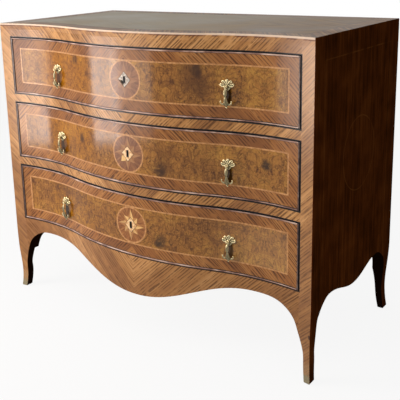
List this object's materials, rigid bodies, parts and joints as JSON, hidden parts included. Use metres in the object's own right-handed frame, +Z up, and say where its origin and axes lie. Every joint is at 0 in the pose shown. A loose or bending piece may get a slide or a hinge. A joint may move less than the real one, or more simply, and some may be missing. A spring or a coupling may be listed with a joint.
{
  "type": "commode chest",
  "caption": "Serpentine-fronted walnut commode chest: locking drawers with inlaid star medallions and brass drop handles, on cabriole legs with shaped aprons.",
  "frame": {"origin": "middle of the overall box at floor level, under the chest", "axes": "+X to the chest's left-to-right as seen from the front, the drawers face and open towards -Y, +Z up from the floor"},
  "size_m": [1.07, 0.5699, 0.88],
  "materials": {
    "walnut_crossgrain": "polished",
    "walnut_top": "polished",
    "walnut_side": "polished",
    "burr_walnut": "polished",
    "walnut_border": "polished",
    "ebonised_bead": "polished",
    "boxwood": "polished",
    "plumwood": "polished",
    "bone": "worn smooth",
    "poplar": "planed, unfinished",
    "aged_brass": "cast, tarnished",
    "wrought_iron": "filed, dark"
  },
  "bodies": {
    "root": {"front_left_leg_post": "walnut_crossgrain", "front_right_leg_post": "walnut_crossgrain", "top_front_rail": "walnut_crossgrain", "upper_divider_rail": "walnut_crossgrain", "lower_divider_rail": "walnut_crossgrain", "front_apron": "walnut_crossgrain", "left_side_panel": "walnut_side", "right_side_panel": "walnut_side", "rear_left_leg_post": "walnut_side", "rear_right_leg_post": "walnut_side", "top_board": "walnut_top", "back_boards": "poplar", "dust_boards": "poplar", "drawer_runners": "poplar", "drawer_guides": "poplar", "drawer_stops": "poplar", "top_kickers": "poplar"},
    "top_drawer": {"top_drawer_cockbead": "ebonised_bead", "top_drawer_crossband": "walnut_border", "top_drawer_field_veneer": "burr_walnut", "top_drawer_boxwood_inlay": "boxwood", "top_drawer_medallion_ground": "plumwood", "top_drawer_escutcheon": "bone", "top_drawer_front": "poplar", "top_drawer_lock_case": "wrought_iron", "top_drawer_box_boards": "poplar", "top_drawer_bottom_board": "poplar", "top_drawer_handle_plates": "aged_brass"},
    "top_lock_bolt": {"top_drawer_lock_bolt": "wrought_iron"},
    "top_left_drop": {"top_drawer_left_drop": "aged_brass"},
    "top_right_drop": {"top_drawer_right_drop": "aged_brass"},
    "middle_drawer": {"middle_drawer_cockbead": "ebonised_bead", "middle_drawer_crossband": "walnut_border", "middle_drawer_field_veneer": "burr_walnut", "middle_drawer_boxwood_inlay": "boxwood", "middle_drawer_medallion_ground": "plumwood", "middle_drawer_escutcheon": "bone", "middle_drawer_front": "poplar", "middle_drawer_lock_case": "wrought_iron", "middle_drawer_box_boards": "poplar", "middle_drawer_bottom_board": "poplar", "middle_drawer_handle_plates": "aged_brass"},
    "middle_lock_bolt": {"middle_drawer_lock_bolt": "wrought_iron"},
    "middle_left_drop": {"middle_drawer_left_drop": "aged_brass"},
    "middle_right_drop": {"middle_drawer_right_drop": "aged_brass"},
    "bottom_drawer": {"bottom_drawer_cockbead": "ebonised_bead", "bottom_drawer_crossband": "walnut_border", "bottom_drawer_field_veneer": "burr_walnut", "bottom_drawer_boxwood_inlay": "boxwood", "bottom_drawer_medallion_ground": "plumwood", "bottom_drawer_escutcheon": "bone", "bottom_drawer_front": "poplar", "bottom_drawer_lock_case": "wrought_iron", "bottom_drawer_box_boards": "poplar", "bottom_drawer_bottom_board": "poplar", "bottom_drawer_handle_plates": "aged_brass"},
    "bottom_lock_bolt": {"bottom_drawer_lock_bolt": "wrought_iron"},
    "bottom_left_drop": {"bottom_drawer_left_drop": "aged_brass"},
    "bottom_right_drop": {"bottom_drawer_right_drop": "aged_brass"}
  },
  "joints": [
    {"name": "top_drawer_slide", "type": "slide", "parent": "root", "child": "top_drawer", "axis": [0, -1, 0], "range_m": [0, 0.4]},
    {"name": "top_lock_bolt_throw", "type": "slide", "parent": "top_drawer", "child": "top_lock_bolt", "axis": [0, 0, 1], "range_m": [0, 0.009]},
    {"name": "top_left_drop_swing", "type": "hinge", "parent": "top_drawer", "child": "top_left_drop", "pos_m": [-0.29828, -0.24828, 0.7505], "axis": [-0.9832, 0.1825, 0], "range_deg": [0, 95]},
    {"name": "top_right_drop_swing", "type": "hinge", "parent": "top_drawer", "child": "top_right_drop", "pos_m": [0.29828, -0.24828, 0.7505], "axis": [-0.9832, -0.1825, 0], "range_deg": [0, 95]},
    {"name": "middle_drawer_slide", "type": "slide", "parent": "root", "child": "middle_drawer", "axis": [0, -1, 0], "range_m": [0, 0.4]},
    {"name": "middle_lock_bolt_throw", "type": "slide", "parent": "middle_drawer", "child": "middle_lock_bolt", "axis": [0, 0, 1], "range_m": [0, 0.009]},
    {"name": "middle_left_drop_swing", "type": "hinge", "parent": "middle_drawer", "child": "middle_left_drop", "pos_m": [-0.29828, -0.24828, 0.546], "axis": [-0.9832, 0.1825, 0], "range_deg": [0, 95]},
    {"name": "middle_right_drop_swing", "type": "hinge", "parent": "middle_drawer", "child": "middle_right_drop", "pos_m": [0.29828, -0.24828, 0.546], "axis": [-0.9832, -0.1825, 0], "range_deg": [0, 95]},
    {"name": "bottom_drawer_slide", "type": "slide", "parent": "root", "child": "bottom_drawer", "axis": [0, -1, 0], "range_m": [0, 0.4]},
    {"name": "bottom_lock_bolt_throw", "type": "slide", "parent": "bottom_drawer", "child": "bottom_lock_bolt", "axis": [0, 0, 1], "range_m": [0, 0.009]},
    {"name": "bottom_left_drop_swing", "type": "hinge", "parent": "bottom_drawer", "child": "bottom_left_drop", "pos_m": [-0.29828, -0.24828, 0.33925], "axis": [-0.9832, 0.1825, 0], "range_deg": [0, 95]},
    {"name": "bottom_right_drop_swing", "type": "hinge", "parent": "bottom_drawer", "child": "bottom_right_drop", "pos_m": [0.29828, -0.24828, 0.33925], "axis": [-0.9832, -0.1825, 0], "range_deg": [0, 95]}
  ]
}
